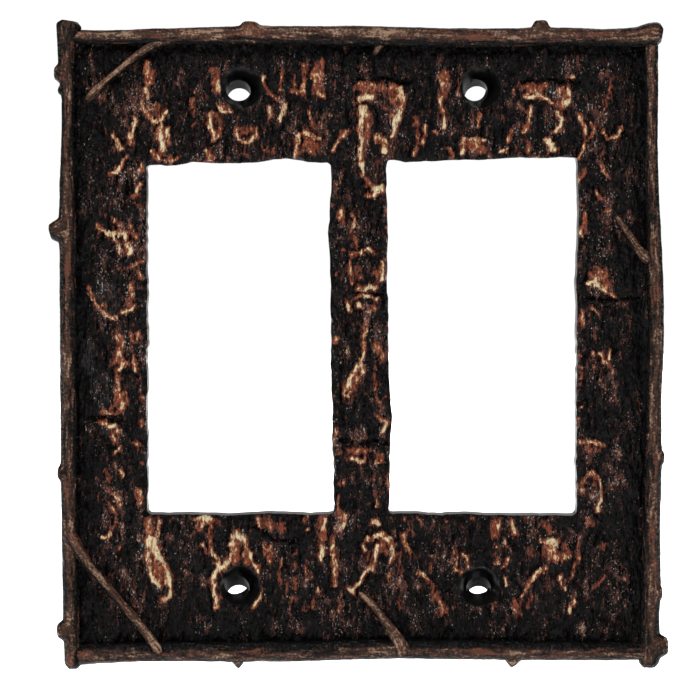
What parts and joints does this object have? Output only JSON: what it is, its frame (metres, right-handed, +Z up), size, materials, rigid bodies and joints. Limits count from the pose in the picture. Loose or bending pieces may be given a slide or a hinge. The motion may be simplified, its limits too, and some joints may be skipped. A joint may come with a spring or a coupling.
{
  "type": "wall plate cover",
  "caption": "Rustic double switch plate: bark-textured panel framed with twigs, with rocker openings and countersunk screw holes.",
  "frame": {"origin": "centre of the four-screw pattern, on the wall plane that the back rim rests on", "axes": "+X to the right seen from the room, +Y into the wall, so the bark front faces -Y, +Z up"},
  "size_m": [0.121, 0.0099, 0.1264],
  "materials": {
    "bark": "cast resin, painted near-black brown with cream and rust dry brushing, semi-gloss",
    "twig": "cast resin, painted dark brown with tan dry brushing, semi-gloss"
  },
  "bodies": {
    "root": {"bark_panel": "bark", "left_frame_twig": "twig", "right_frame_twig": "twig", "top_frame_twig": "twig", "bottom_frame_twig": "twig", "top_left_shoot": "twig", "top_spur": "twig", "right_shoot": "twig", "bottom_left_shoot": "twig", "bottom_shoot": "twig"}
  },
  "joints": []
}
